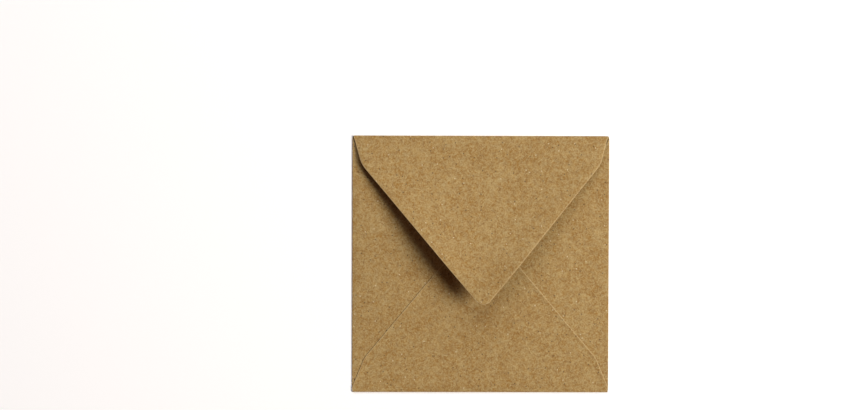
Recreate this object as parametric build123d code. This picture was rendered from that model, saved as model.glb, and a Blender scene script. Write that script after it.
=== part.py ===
from build123d import *
import os

# A square greeting-card envelope with a pointed flap, cut and folded from one sheet of kraft paper.
# It lies on its address panel, flap side up, with the opening flap a little open.
# Origin: middle of the underside. +X is to the right, +Y towards the opening flap's fold and
# +Z up. Lengths are in millimetres and angles in degrees.

# folded envelope and its paper
envelope_width = 155.0
envelope_height = 155.0
sheet_thickness = 0.15
pocket_gap = 0.4  # free height between the address panel and the side flaps
corner_clearance = 0.15  # between one flap's fold and the next one's, at each corner

# opening flap: lengths run along the flap, from the end of its fold
top_length = 105.0  # to the point, before it is rounded
top_point_shift = 1.2  # the point lies this far to the right of the middle
top_shoulder_length = 17.0
top_shoulder_inset = 4.7
top_shoulder_radius = 8.0
top_point_radius = 6.0
top_fold_radius = 0.5  # inside the fold
top_lift = 10.5  # above flat

# bottom flap, glued over the two side flaps
bottom_length = 104.0
bottom_point_shift = -0.5
bottom_shoulder_length = 19.6
bottom_shoulder_inset = 6.0
bottom_shoulder_radius = 8.0
bottom_point_radius = 6.0

# side flaps, whose points almost meet in the middle
side_point_clearance = 3.0  # between the two points, before they are rounded
side_shoulder_length = 5.4
side_shoulder_inset = 12.0
side_shoulder_radius = 8.0
side_point_radius = 6.0

# folds: the sheet turns round the inner radius, and the outer face is one sheet further out
side_fold_radius = pocket_gap / 2
bottom_fold_radius = (pocket_gap + sheet_thickness) / 2
top_fold_reach = top_fold_radius + sheet_thickness
side_fold_reach = side_fold_radius + sheet_thickness
bottom_fold_reach = bottom_fold_radius + sheet_thickness
corner_relief = max(top_fold_reach, side_fold_reach, bottom_fold_reach) + corner_clearance
half_width = envelope_width / 2
half_height = envelope_height / 2


def flap_outline(half_base, fold_line, length, shift, shoulder_length, shoulder_inset, radii):
    """Closed outline of a flap as it lies on the blank: a base on the fold line, two short sides
    that lean in to rounded shoulders, and two long straight edges that meet in a rounded point."""
    shoulder_radius, point_radius = radii
    shoulder_line = fold_line + shoulder_length
    half_shoulder = half_base - shoulder_inset
    return FilletPolyline(
        (-half_base, fold_line),
        (-half_shoulder, shoulder_line),
        (shift, fold_line + length),
        (half_shoulder, shoulder_line),
        (half_base, fold_line),
        radius=[0, shoulder_radius, point_radius, shoulder_radius, 0],
        close=True,
    )


def folded_flap(half_base, fold_line, outline, fold_radius, lift):
    """The flap beyond the panel's +Y edge. Its fold is the sheet's own edge revolved about an axis
    above the fold line, and its leaf is the flat outline turned about the same axis."""
    fold_axis = Axis((0, fold_line, fold_radius + sheet_thickness), (1, 0, 0))
    turn = 180 - lift
    sheet_edge = Plane.XZ.offset(-fold_line) * Pos(0, sheet_thickness / 2) * Rectangle(
        2 * half_base, sheet_thickness
    )
    fold = revolve(sheet_edge, fold_axis, turn)
    leaf = extrude(make_face(outline), sheet_thickness).rotate(fold_axis, turn)
    return fold + leaf


def top_flap():
    half_base = half_width - corner_relief
    fold_line = half_height - top_fold_reach
    outline = flap_outline(
        half_base,
        fold_line,
        top_length,
        top_point_shift,
        top_shoulder_length,
        top_shoulder_inset,
        (top_shoulder_radius, top_point_radius),
    )
    return folded_flap(half_base, fold_line, outline, top_fold_radius, top_lift)


def bottom_flap():
    half_base = half_width - corner_relief
    fold_line = half_height - bottom_fold_reach
    outline = flap_outline(
        half_base,
        fold_line,
        bottom_length,
        -bottom_point_shift,
        bottom_shoulder_length,
        bottom_shoulder_inset,
        (bottom_shoulder_radius, bottom_point_radius),
    )
    flap = folded_flap(half_base, fold_line, outline, bottom_fold_radius, 0)
    return Rot(Z=180) * flap


def side_flap(turn):
    """One side flap, turned about +Z from the +Y edge to its own side."""
    half_base = half_height - corner_relief
    fold_line = half_width - side_fold_reach
    outline = flap_outline(
        half_base,
        fold_line,
        fold_line - side_point_clearance / 2,
        0,
        side_shoulder_length,
        side_shoulder_inset,
        (side_shoulder_radius, side_point_radius),
    )
    flap = folded_flap(half_base, fold_line, outline, side_fold_radius, 0)
    return Rot(Z=turn) * flap


def address_panel():
    """The panel that the envelope lies on, out to where the folds begin."""
    left = -half_width + side_fold_reach
    right = half_width - side_fold_reach
    bottom = -half_height + bottom_fold_reach
    top = half_height - top_fold_reach
    return Pos((left + right) / 2, (bottom + top) / 2, sheet_thickness / 2) * Box(
        right - left, top - bottom, sheet_thickness
    )


envelope = address_panel() + top_flap() + side_flap(90) + side_flap(-90) + bottom_flap()
envelope.label = "envelope"

os.makedirs("parts", exist_ok=True)
export_step(envelope, "parts/envelope.step")
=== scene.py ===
import math

import bmesh
import bpy
import numpy as np
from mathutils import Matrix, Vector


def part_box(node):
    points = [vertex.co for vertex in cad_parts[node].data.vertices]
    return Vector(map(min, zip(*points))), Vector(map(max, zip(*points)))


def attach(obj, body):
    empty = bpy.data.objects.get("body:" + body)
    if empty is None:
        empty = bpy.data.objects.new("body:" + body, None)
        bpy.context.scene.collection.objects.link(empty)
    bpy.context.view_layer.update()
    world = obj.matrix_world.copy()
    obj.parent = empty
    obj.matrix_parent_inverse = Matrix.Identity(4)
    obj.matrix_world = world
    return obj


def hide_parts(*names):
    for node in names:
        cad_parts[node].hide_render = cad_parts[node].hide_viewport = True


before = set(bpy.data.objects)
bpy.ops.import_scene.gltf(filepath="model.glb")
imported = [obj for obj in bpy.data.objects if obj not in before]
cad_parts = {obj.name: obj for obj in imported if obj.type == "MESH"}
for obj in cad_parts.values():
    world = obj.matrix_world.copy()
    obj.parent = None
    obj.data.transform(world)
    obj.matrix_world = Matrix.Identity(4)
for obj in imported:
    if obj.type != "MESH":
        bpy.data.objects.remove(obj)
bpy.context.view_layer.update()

# A square greeting-card envelope folded from one die-cut sheet of kraft paper. It lies on its
# address panel with the pointed flap a little open. +X right, +Y to the flap's fold, +Z up.

lowCorner, highCorner = (np.array(corner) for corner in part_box("envelope"))
halfWidth, halfHeight = ((highCorner - lowCorner) / 2)[:2]
mm = 0.001
tiny = 1e-9         # keeps a length that may be nothing out of a division

flapNames = ("top", "bottom", "left", "right")

# the sheet, in millimetres and degrees; a flap's lengths start where its bend ends, and its hip is
# how far its short side swells, and how high
sheet = {
    "thickness": 0.15,
    "top": {
        "turn": 0, "foldRadius": 0.5, "lift": 10.5, "length": 105, "pointShift": 1.2, "hip": (0, 0),
        "shoulder": (5.15, 17), "shoulderRadius": 18, "pointRadius": 5.4,
    },
    "bottom": {
        "turn": 180, "foldRadius": 0.275, "lift": 0, "length": 104, "pointShift": 0.5, "hip": (1.4, 4.6),
        "shoulder": (6.4, 19.6), "shoulderRadius": 20, "pointRadius": 6,
    },
    "left": {
        "turn": 90, "foldRadius": 0.2, "lift": 0, "length": 75.65, "pointShift": 0, "hip": (0, 0),
        "shoulder": (12, 5.4), "shoulderRadius": 8, "pointRadius": 6,
    },
    "right": {
        "turn": -90, "foldRadius": 0.2, "lift": 0, "length": 75.65, "pointShift": 0, "hip": (0, 0),
        "shoulder": (12, 5.4), "shoulderRadius": 8, "pointRadius": 6,
    },

    # how the paper springs and rolls once it is folded
    "pillow": 2.0,           # the pocket's back rises this far in the middle
    "flapDish": 1.8,         # the opening flap's middle sags this far below its long edges
    "dishStart": 0.25,       # the share of its length over which the dish comes in
    "leastWidth": 0.25,      # the dish is no narrower near the point than this share of the width
    "flapBow": 2.8,          # its lower half bows up this far, and its point turns down again
    "flapRoll": ((0.45, 2.2), (0.1, 0.35)),   # its cut edge turns down: how far, over what width
    "seamRoll": ((0.12, 0.4),),               # the same for the bottom flap's
    "seamLip": (0.26, 1.6),  # the unglued margin of the bottom flap lifts: how far, how wide
    "springStart": 6,        # all of these come in over this length beyond a bend
    "cockle": (0.05, 34),    # slow unevenness of the sheet: height and wavelength
    "cockleWaves": (         # each wave's share of x and of y, its stretch and its phase
        (0.9, 0.35, 1, 0.7), (-0.8, 0.55, 0.83, 2.1), (0.2, 1.1, 0.61, 4.0),
    ),

    # how finely it is divided
    "edgeSteps": (0, 0.15, 0.35, 0.6, 1.0, 1.6, 2.4),   # rows at these distances from a cut edge
    "shortSideColumns": 10,
    "shoulderColumns": 6,
    "longEdgeColumns": 28,
    "pointColumns": 20,
    "bendRows": 10,
    "leafRows": 20,
    "shortShare": 16,        # the short side's and shoulder's columns leave this much of a fold line
    "pointShare": 9,         # half of what the point's columns leave from
    "crowding": 1.5,         # power that crowds the columns towards a fold line's ends
    "mostShare": 0.45,       # of a short column that its bend or its edge rows may take
    "joinWithin": 0.002,     # points this close are one
}


# arc that rounds a corner: its centre lies on the bisector, radius / sin(half angle) from the
# corner, and the points turn evenly from one tangent point to the other
def roundedCorner(before, corner, after, radius, count):
    before, corner, after = (np.array(point, float) for point in (before, corner, after))
    towardBefore = (before - corner) / np.linalg.norm(before - corner)
    towardAfter = (after - corner) / np.linalg.norm(after - corner)
    halfAngle = math.acos(towardBefore @ towardAfter) / 2
    bisector = (towardBefore + towardAfter) / np.linalg.norm(towardBefore + towardAfter)
    centre = corner + bisector * radius / math.sin(halfAngle)
    start = corner + towardBefore * radius / math.tan(halfAngle) - centre
    end = corner + towardAfter * radius / math.tan(halfAngle) - centre
    sweep = math.pi - 2 * halfAngle
    share = np.linspace(0, 1, count + 1)[:, None]
    turned = start * np.sin((1 - share) * sweep) + end * np.sin(share * sweep)
    return centre + turned / math.sin(sweep)


# places along a fold line: close at both ends, even along the long edges, close in the middle
def foldLinePlaces(halfBase):
    shortColumns = sheet["shortSideColumns"] + sheet["shoulderColumns"]
    crowded = np.linspace(0, 1, shortColumns + 1) ** sheet["crowding"]
    short = sheet["shortShare"] * mm * crowded - halfBase
    pointHalf = sheet["pointShare"] * mm
    longEdge = np.linspace(short[-1], -pointHalf, sheet["longEdgeColumns"] + 1)[1:]
    left = np.concatenate([short, longEdge])
    middle = np.linspace(-pointHalf, pointHalf, sheet["pointColumns"] + 1)[1:-1]
    return np.concatenate([left, middle, -left[::-1]])


# cut outline of a flap from one end of its fold line round the point to the other, (u across,
# v out from the fold line): straight sides that swell to the hip and back, arcs at the shoulders
# and the point, and one outline point for each place along the fold line
def cutOutline(flap, halfBase, bendLength):
    inset, rise = flap["shoulder"][0] * mm, flap["shoulder"][1] * mm + bendLength
    point = (flap["pointShift"] * mm, flap["length"] * mm + bendLength)
    leftShoulder, rightShoulder = (inset - halfBase, rise), (halfBase - inset, rise)
    corners = np.array([(-halfBase, 0), leftShoulder, point, rightShoulder, (halfBase, 0)])
    outset, hipRise = (size * mm for size in flap["hip"])
    radii = [flap[key] * mm for key in ("shoulderRadius", "pointRadius", "shoulderRadius")]
    counts = [sheet[key] for key in ("shoulderColumns", "pointColumns", "shoulderColumns")]
    arcs = [roundedCorner(*corners[i:i + 3], radii[i], counts[i]) for i in range(3)]
    closer = np.linspace(0, 1, sheet["shortSideColumns"] + 1)[:-1, None] ** sheet["crowding"]
    hip = np.interp(closer * rise, (0, hipRise, rise), (0, outset, 0))
    leftSide = corners[0] + (arcs[0][0] - corners[0]) * closer - hip * (1, 0)
    rightSide = corners[4] + (arcs[2][-1] - corners[4]) * closer + hip * (1, 0)
    even = np.linspace(0, 1, sheet["longEdgeColumns"] + 1)[1:-1, None]
    return np.concatenate([
        leftSide, arcs[0],
        arcs[0][-1] + (arcs[1][0] - arcs[0][-1]) * even, arcs[1],
        arcs[1][-1] + (arcs[2][0] - arcs[1][-1]) * even, arcs[2],
        rightSide[::-1],
    ])


# grid of a flap on the flat blank: each column is a straight ray from the fold line to the cut
# outline, with rows close together round the fold and again just inside the cut
def flapRows(outline, halfBase, bendLength):
    places = foldLinePlaces(halfBase)
    length = np.hypot(outline[:, 0] - places, outline[:, 1])
    slope = outline[:, 1] / np.maximum(length, tiny)
    bendEnd = np.minimum(bendLength / np.maximum(slope, tiny), sheet["mostShare"] * length)
    steps = np.array(sheet["edgeSteps"])[::-1, None] * mm
    edgeRows = length - steps * np.minimum(1, sheet["mostShare"] * length / steps[0])
    bendRows = bendEnd * np.linspace(0, 1, sheet["bendRows"] + 1)[:, None]
    leafShare = np.linspace(0, 1, sheet["leafRows"] + 1)[1:-1, None]
    leafRows = bendEnd + (edgeRows[0] - bendEnd) * leafShare
    share = np.concatenate([bendRows, leafRows, edgeRows]) / np.maximum(length, tiny)
    return places + (outline[:, 0] - places) * share, outline[:, 1] * share


# distance of every grid point to the flap's outline: the nearest of the distances to its segments
def distanceToCut(u, v, outline):
    start, along = outline[:-1], np.diff(outline, axis=0)
    offset = np.stack([u, v], -1)[..., None, :] - start
    share = np.clip((offset * along).sum(-1) / (along ** 2).sum(-1), 0, 1)
    return np.linalg.norm(offset - share[..., None] * along, axis=-1).min(-1)


# slow cockle: the mean of three sine waves in different directions
def cockle(x, y):
    height, wavelength = (size * mm for size in sheet["cockle"])
    turn = 2 * math.pi / wavelength
    waves = [np.sin(turn * (xShare * x + yShare * y) * stretch + phase)
             for xShare, yShare, stretch, phase in sheet["cockleWaves"]]
    return height * sum(waves) / len(waves)


# height of the pocket's back: a pillow that is pinned along the folds, product of two parabolas
def pillow(x, y):
    mask = np.clip(1 - (x / halfWidth) ** 2, 0, 1) * np.clip(1 - (y / halfHeight) ** 2, 0, 1)
    return mask * (sheet["pillow"] * mm + cockle(x, y))


# spring of a flap along its leaf's normal. The opening flap has a parabola across for its dish, a
# squared sine along for its bow, and the cockle; the bottom flap has a bell curve along its cut for
# its lip; both roll down by an exponential of the distance to the cut
def flapSpring(name, u, beyond, cutDistance):
    rise = np.zeros_like(beyond)
    rolls = ()
    if name == "top":
        rolls = sheet["flapRoll"]
        along = beyond / (sheet[name]["length"] * mm)
        across = u / (halfWidth * np.maximum(1 - along, sheet["leastWidth"]))
        dishIn = np.clip(along / sheet["dishStart"], 0, 1)
        rise += sheet["flapDish"] * mm * (across ** 2 - 1) * dishIn
        rise += sheet["flapBow"] * mm * np.sin(math.pi * along ** 2) ** 2 + cockle(u, beyond)
    if name == "bottom":
        rolls = sheet["seamRoll"]
        lip, lipWidth = (size * mm for size in sheet["seamLip"])
        rise += lip * np.exp(-(cutDistance / lipWidth) ** 2)
    for roll, rollWidth in rolls:
        rise -= roll * mm * np.exp(-cutDistance / (rollWidth * mm))
    past = np.clip(beyond / (sheet["springStart"] * mm), 0, 1)
    return rise * (past * past * (3 - 2 * past))


# a flap folded over: out to the fold line, round an arc of the sheet's middle radius, then
# straight on at the lift angle, with its spring added and, on the pocket, the pillow
def foldFlap(name, u, v, cutDistance):
    flap = sheet[name]
    thickness = sheet["thickness"] * mm
    middleRadius = flap["foldRadius"] * mm + thickness / 2
    half = halfHeight if name in ("top", "bottom") else halfWidth
    foldLine = half - flap["foldRadius"] * mm - thickness
    turned = math.pi - math.radians(flap["lift"])
    angle = np.minimum(v / middleRadius, turned)
    beyond = np.maximum(v - turned * middleRadius, 0)
    out = foldLine + middleRadius * np.sin(angle) + beyond * math.cos(turned)
    z = thickness / 2 + middleRadius * (1 - np.cos(angle)) + beyond * math.sin(turned)
    spin = math.radians(flap["turn"])
    x = u * math.cos(spin) - out * math.sin(spin)
    y = u * math.sin(spin) + out * math.cos(spin)
    if name != "top":
        z = z + np.where(beyond > 0, pillow(x, y), 0)
    return np.stack([x, y, z + flapSpring(name, u, beyond, cutDistance)], -1)


# quads of a grid of vertex numbers, all turning the same way on the flat blank
def gridQuads(numbers):
    corners = numbers[:-1, :-1], numbers[:-1, 1:], numbers[1:, 1:], numbers[1:, :-1]
    return np.stack(corners, -1).reshape(-1, 4)


# the whole sheet: the address panel's grid and the four flaps' grids, each with its place on the
# flat blank and its distance to the nearest cut
def foldedSheet():
    thickness = sheet["thickness"] * mm
    reach = {name: sheet[name]["foldRadius"] * mm + thickness for name in flapNames}
    baseAcross, baseUp = halfWidth - reach["left"], halfHeight - reach["top"]
    xLines = foldLinePlaces(baseAcross)
    yLines = np.concatenate([[reach["bottom"] - halfHeight], foldLinePlaces(baseUp)])
    x, y = np.meshgrid(xLines, yLines)
    panel = np.stack([x, y, np.full_like(x, thickness / 2)], -1)
    patches = [(panel, panel[..., :2], np.full_like(x, halfWidth))]
    for name in flapNames:
        flap = sheet[name]
        upright = name in ("top", "bottom")
        half, halfBase = (halfHeight, baseAcross) if upright else (halfWidth, baseUp)
        bendLength = (reach[name] - thickness / 2) * (math.pi - math.radians(flap["lift"]))
        outline = cutOutline(flap, halfBase, bendLength)
        u, v = flapRows(outline, halfBase, bendLength)
        cutDistance = distanceToCut(u, v, outline)
        spin = math.radians(flap["turn"])
        out = half - reach[name] + v
        blankX = u * math.cos(spin) - out * math.sin(spin)
        blankY = u * math.sin(spin) + out * math.cos(spin)
        folded = foldFlap(name, u, v, cutDistance)
        patches.append((folded, np.stack([blankX, blankY], -1), cutDistance))
    return patches


# the patches as one mesh: quads of each grid, all turning the same way on the blank, joined where
# a flap's first row lies on the panel's edge
def makeEnvelope(material):
    patches = foldedSheet()
    sizes = [cutDistance.size for _, _, cutDistance in patches]
    starts = np.cumsum([0] + sizes[:-1])
    quads = np.concatenate([gridQuads(start + np.arange(cutDistance.size).reshape(cutDistance.shape))
                            for start, (_, _, cutDistance) in zip(starts, patches)])
    points, blank, cutDistance = (
        np.concatenate([patch[i].reshape(size, -1) for size, patch in zip(sizes, patches)])
        for i in range(3))
    mesh = bpy.data.meshes.new("kraftEnvelope")
    mesh.from_pydata(points, [], quads)
    uvLayer = mesh.uv_layers.new(name="blank")
    uvLayer.data.foreach_set("uv", blank[quads.ravel()].astype(np.float32).ravel())
    attribute = mesh.attributes.new("cutDistance", "FLOAT", "POINT")
    attribute.data.foreach_set("value", cutDistance.astype(np.float32).ravel())
    joined = bmesh.new()
    joined.from_mesh(mesh)
    bmesh.ops.remove_doubles(joined, verts=joined.verts, dist=sheet["joinWithin"] * mm)
    joined.to_mesh(mesh)
    joined.free()
    mesh.polygons.foreach_set("use_smooth", np.ones(len(mesh.polygons), bool))
    mesh.materials.append(material)
    envelope = bpy.data.objects.new("kraftEnvelope", mesh)
    bpy.context.scene.collection.objects.link(envelope)
    wall = envelope.modifiers.new("sheetThickness", "SOLIDIFY")
    wall.thickness = sheet["thickness"] * mm
    wall.offset = 0
    return envelope


# one colour, written as a maker would, turned from sRGB to linear
def linearColour(hexCode):
    channels = np.array([int(hexCode[i:i + 2], 16) for i in (1, 3, 5)]) / 255
    linear = np.where(channels <= 0.04045, channels / 12.92, ((channels + 0.055) / 1.055) ** 2.4)
    return (*linear, 1)


# adds a node: settings are its properties, and inputs are socket values or other nodes' outputs.
# An input is named by its socket, or by its number where names repeat, as in i0. A colour Mix
# takes its factor at i0 and its two colours at i6 and i7.
def addNode(tree, kind, settings=None, **inputs):
    node = tree.nodes.new(kind)
    for key, value in (settings or {}).items():
        setattr(node, key, value)
    for key, value in inputs.items():
        socket = node.inputs[int(key[1:])] if key[1:].isdigit() else node.inputs[key.replace("_", " ")]
        if isinstance(value, bpy.types.NodeSocket):
            tree.links.new(value, socket)
        else:
            socket.default_value = value
    return node


# recycled kraft paper: unbleached pulp, so a brown sheet of mixed bark and straw-coloured fibre.
# Sizes are in millimetres on the flat blank, and what is finer than half a millimetre is drawn
# that coarse, because a finer grain would not show across a whole envelope.
kraftLook = {
    "bark": "#865F22",
    "straw": "#AF9764",
    "mottle": (                  # patch size and weight
        (14, 0.27), (7, 0.38), (3.6, 0.45), (1.9, 0.48), (1.1, 0.9), (0.7, 1.6),
    ),
    "russet": "#AB7F35",         # the sheet leans from this hue
    "olive": "#8A7654",          # to this one
    "hueDrift": ((2.6, 1.0),),   # patch size and weight
    "hueShare": 0.3,
    "seeds": {"mottle": 0, "hueDrift": 31, "rimWobble": 53},
    "seedStep": 3.7,             # from one patch size to the next
    "strokes": {                 # painted in this order
        "darkFibre": {"colour": "#6B4A26", "spacing": 5.2, "length": 3.0, "width": 0.40,
                      "share": 0.5, "mix": 0.4},
        "paleFibre": {"colour": "#C0A776", "spacing": 3.4, "length": 3.4, "width": 0.40,
                      "share": 0.6, "mix": 0.33},
        "darkSpeck": {"colour": "#4F3D27", "spacing": 7.0, "length": 0.75, "width": 0.6,
                      "share": 0.45, "mix": 0.8},
        "paleSpeck": {"colour": "#D9C9A4", "spacing": 11.0, "length": 0.7, "width": 0.5,
                      "share": 0.4, "mix": 0.7},
    },
    "strokeEdge": (0.38, 0.62),  # a stroke fades between these shares of its length and width
    "strokeBend": 0.25,          # the most that a stroke curves, per millimetre
    "cutRimFibreAndHighlight": {"colour": "#C9B184", "width": 0.75, "mix": 0.3},   # paler torn fibre along a cut, and a painted highlight where the cut edge catches the light
    "rimWobble": ((1.6, 1.0),),       # patch size and weight of the ragged inner line of the pale rim and its painted highlight
    "rimWobbleShare": 0.6,            # how far it wanders, as a share of the rim's width
    "rimEdge": (0.1, 0.7),       # the rim fades between these shares of its width
    "tooth": (0.5, 0.03),        # felt grain: size and height
    "toothDetail": 3.0,
    "toothRoughness": 0.6,
    "toothStrength": 0.6,
    "roughness": 0.88,
    "ior": 1.5,
}


# mask of short curved strokes, one in each Voronoi cell: the cell's own colour turns it and bends
# it, then it is white where both |x| < half length and |y + bend x x| < half width
def strokeMask(tree, blank, stroke):
    cell = addNode(tree, "ShaderNodeTexVoronoi", {"voronoi_dimensions": "2D"},
                   Vector=blank, Scale=1 / (stroke["spacing"] * mm), Randomness=1.0)
    chance = addNode(tree, "ShaderNodeSeparateColor", Color=cell.outputs["Color"])
    fromMiddle = addNode(tree, "ShaderNodeVectorMath", {"operation": "SUBTRACT"},
                         i0=blank, i1=cell.outputs["Position"])
    turn = addNode(tree, "ShaderNodeMath", {"operation": "MULTIPLY"},
                   i0=chance.outputs[0], i1=2 * math.pi)
    turned = addNode(tree, "ShaderNodeVectorRotate", {"rotation_type": "Z_AXIS"},
                     Vector=fromMiddle.outputs[0], Angle=turn.outputs[0])
    place = addNode(tree, "ShaderNodeSeparateXYZ", Vector=turned.outputs[0])
    square = addNode(tree, "ShaderNodeMath", {"operation": "MULTIPLY"},
                     i0=place.outputs[0], i1=place.outputs[0])
    mostBend = kraftLook["strokeBend"] / mm
    bend = addNode(tree, "ShaderNodeMapRange", Value=chance.outputs[1],
                   To_Min=-mostBend, To_Max=mostBend)
    bent = addNode(tree, "ShaderNodeMath", {"operation": "MULTIPLY_ADD"},
                   i0=square.outputs[0], i1=bend.outputs[0], i2=place.outputs[1])
    solid, clear = kraftLook["strokeEdge"]
    mask = None
    for value, size in ((place.outputs[0], stroke["length"]), (bent.outputs[0], stroke["width"])):
        away = addNode(tree, "ShaderNodeMath", {"operation": "ABSOLUTE"}, i0=value)
        inside = addNode(tree, "ShaderNodeMapRange", {"interpolation_type": "SMOOTHSTEP"},
                         Value=away.outputs[0], From_Min=clear * size * mm, From_Max=solid * size * mm)
        mask = inside.outputs[0] if mask is None else addNode(
            tree, "ShaderNodeMath", {"operation": "MULTIPLY"}, i0=mask, i1=inside.outputs[0]).outputs[0]
    kept = addNode(tree, "ShaderNodeMath", {"operation": "LESS_THAN"},
                   i0=chance.outputs[2], i1=stroke["share"])
    strength = addNode(tree, "ShaderNodeMath", {"operation": "MULTIPLY"},
                       i0=kept.outputs[0], i1=stroke["mix"])
    return addNode(tree, "ShaderNodeMath", {"operation": "MULTIPLY"},
                   i0=mask, i1=strength.outputs[0]).outputs[0]


# sum of noise patches about a half: 0.5 + weight (noise - 0.5) for every size in the list
def patchSum(tree, blank, name):
    total = 0.5
    for number, (size, weight) in enumerate(kraftLook[name]):
        seed = kraftLook["seeds"][name] + kraftLook["seedStep"] * number
        patch = addNode(tree, "ShaderNodeTexNoise", {"noise_dimensions": "4D"},
                        Vector=blank, W=seed, Scale=1 / (size * mm), Detail=0.0)
        centred = addNode(tree, "ShaderNodeMath", {"operation": "SUBTRACT"}, i0=patch.outputs[0], i1=0.5)
        total = addNode(tree, "ShaderNodeMath", {"operation": "MULTIPLY_ADD"},
                        i0=centred.outputs[0], i1=weight, i2=total).outputs[0]
    return total


# pulp colours mixed by noise, then strokes of fibre and specks, then the pale rim along each cut: paler torn
# fibre and a painted highlight of the cut edge
def kraftPaper():
    material = bpy.data.materials.new("recycledKraftPaper")
    material.use_nodes = True
    tree = material.node_tree
    surface = tree.nodes["Principled BSDF"]
    blank = addNode(tree, "ShaderNodeUVMap", {"uv_map": "blank"}).outputs[0]
    colour = addNode(tree, "ShaderNodeMix", {"data_type": "RGBA"}, i0=patchSum(tree, blank, "mottle"),
                     i6=linearColour(kraftLook["bark"]), i7=linearColour(kraftLook["straw"])).outputs[2]
    hue = addNode(tree, "ShaderNodeMix", {"data_type": "RGBA"}, i0=patchSum(tree, blank, "hueDrift"),
                  i6=linearColour(kraftLook["russet"]), i7=linearColour(kraftLook["olive"])).outputs[2]
    colour = addNode(tree, "ShaderNodeMix", {"data_type": "RGBA"},
                     i0=kraftLook["hueShare"], i6=colour, i7=hue).outputs[2]
    for stroke in kraftLook["strokes"].values():
        colour = addNode(tree, "ShaderNodeMix", {"data_type": "RGBA"}, i0=strokeMask(tree, blank, stroke),
                         i6=colour, i7=linearColour(stroke["colour"])).outputs[2]
    # the pale rim along every cut is partly torn fibre and partly a painted highlight where the edge catches
    # the light
    rimFibreAndHighlight = kraftLook["cutRimFibreAndHighlight"]
    solid, clear = (share * rimFibreAndHighlight["width"] * mm for share in kraftLook["rimEdge"])
    fromCut = addNode(tree, "ShaderNodeAttribute", {"attribute_name": "cutDistance"}).outputs["Fac"]
    wobbledCutDistance = addNode(tree, "ShaderNodeMath", {"operation": "MULTIPLY_ADD"}, i0=patchSum(tree, blank, "rimWobble"),
                     i1=-kraftLook["rimWobbleShare"] * rimFibreAndHighlight["width"] * mm, i2=fromCut)
    rimFibreAndHighlightShare = addNode(tree, "ShaderNodeMapRange", {"interpolation_type": "SMOOTHSTEP"},
                       Value=wobbledCutDistance.outputs[0], From_Min=clear, From_Max=solid, To_Max=rimFibreAndHighlight["mix"])
    colour = addNode(tree, "ShaderNodeMix", {"data_type": "RGBA"}, i0=rimFibreAndHighlightShare.outputs[0],
                     i6=colour, i7=linearColour(rimFibreAndHighlight["colour"])).outputs[2]
    toothSize, toothHeight = (size * mm for size in kraftLook["tooth"])
    tooth = addNode(tree, "ShaderNodeTexNoise", Vector=blank, Scale=1 / toothSize,
                    Detail=kraftLook["toothDetail"], Roughness=kraftLook["toothRoughness"])
    bump = addNode(tree, "ShaderNodeBump", Height=tooth.outputs[0], Distance=toothHeight,
                   Strength=kraftLook["toothStrength"])
    tree.links.new(colour, surface.inputs["Base Color"])
    tree.links.new(bump.outputs[0], surface.inputs["Normal"])
    surface.inputs["Roughness"].default_value = kraftLook["roughness"]
    surface.inputs["IOR"].default_value = kraftLook["ior"]
    return material


print("envelope: folding the sheet")
paper = kraftPaper()
envelope = makeEnvelope(paper)
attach(envelope, "root")
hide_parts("envelope")

# plain studio, sizes in metres and angles in degrees
studio = {
    "floor": "#FFFFFF",
    "floorHalf": 3.0,
    "lens": 85,
    "cameraPlace": (-0.0473, 0.0705, 1.2165),
    "cameraTurn": (-1.64, -0.70, 0.14),
    "lightDistance": 3,
    "lights": {
        "key": {"azimuth": -2, "elevation": 42, "size": 1.6, "power": 108, "colour": "#FFFAF4"},
        "top": {"azimuth": 84, "elevation": 38, "size": 2.3, "power": 53, "colour": "#F4F9FF"},
        "fill": {"azimuth": 175, "elevation": 45, "size": 1.9, "power": 10, "colour": "#FFD2C6"},
    },
    "air": 0.0,            # light from all round
}


# a matt white square
def makeFloor():
    half = studio["floorHalf"]
    corners = [(-half, -half, 0), (half, -half, 0), (half, half, 0), (-half, half, 0)]
    mesh = bpy.data.meshes.new("studioFloor")
    mesh.from_pydata(corners, [], [(0, 1, 2, 3)])
    floor = bpy.data.objects.new("studioFloor", mesh)
    bpy.context.scene.collection.objects.link(floor)
    material = bpy.data.materials.new("whiteSweep")
    material.use_nodes = True
    surface = material.node_tree.nodes["Principled BSDF"]
    surface.inputs["Base Color"].default_value = linearColour(studio["floor"])
    surface.inputs["Roughness"].default_value = 1.0
    surface.inputs["Specular IOR Level"].default_value = 0.0
    mesh.materials.append(material)


# round soft boxes, each at its azimuth and elevation on a sphere about the envelope, facing it
def makeLights():
    for name, setting in studio["lights"].items():
        light = bpy.data.lights.new(name, "AREA")
        light.energy = setting["power"]
        light.color = linearColour(setting["colour"])[:3]
        light.shape = "DISK"
        light.size = setting["size"]
        lamp = bpy.data.objects.new(name, light)
        turn, rise = math.radians(setting["azimuth"]), math.radians(setting["elevation"])
        lamp.location = [studio["lightDistance"] * part for part in
                         (math.cos(turn) * math.cos(rise), math.sin(turn) * math.cos(rise), math.sin(rise))]
        lamp.rotation_euler = (math.pi / 2 - rise, 0, turn + math.pi / 2)
        bpy.context.scene.collection.objects.link(lamp)
    world = bpy.data.worlds.new("studioAir")
    world.use_nodes = True
    world.node_tree.nodes["Background"].inputs["Color"].default_value = (1, 1, 1, 1)
    world.node_tree.nodes["Background"].inputs["Strength"].default_value = studio["air"]
    bpy.context.scene.world = world


# looks down on the envelope, which lies right of the middle and low in the frame
def makeCamera():
    camera = bpy.data.objects.new("camera", bpy.data.cameras.new("camera"))
    camera.data.lens = studio["lens"]
    camera.location = studio["cameraPlace"]
    camera.rotation_mode = "ZYX"
    camera.rotation_euler = [math.radians(turn) for turn in studio["cameraTurn"]]
    bpy.context.scene.collection.objects.link(camera)
    bpy.context.scene.camera = camera


print("studio: floor, lights and camera")
makeFloor()
makeLights()
makeCamera()
bpy.context.scene.view_settings.view_transform = "Standard"
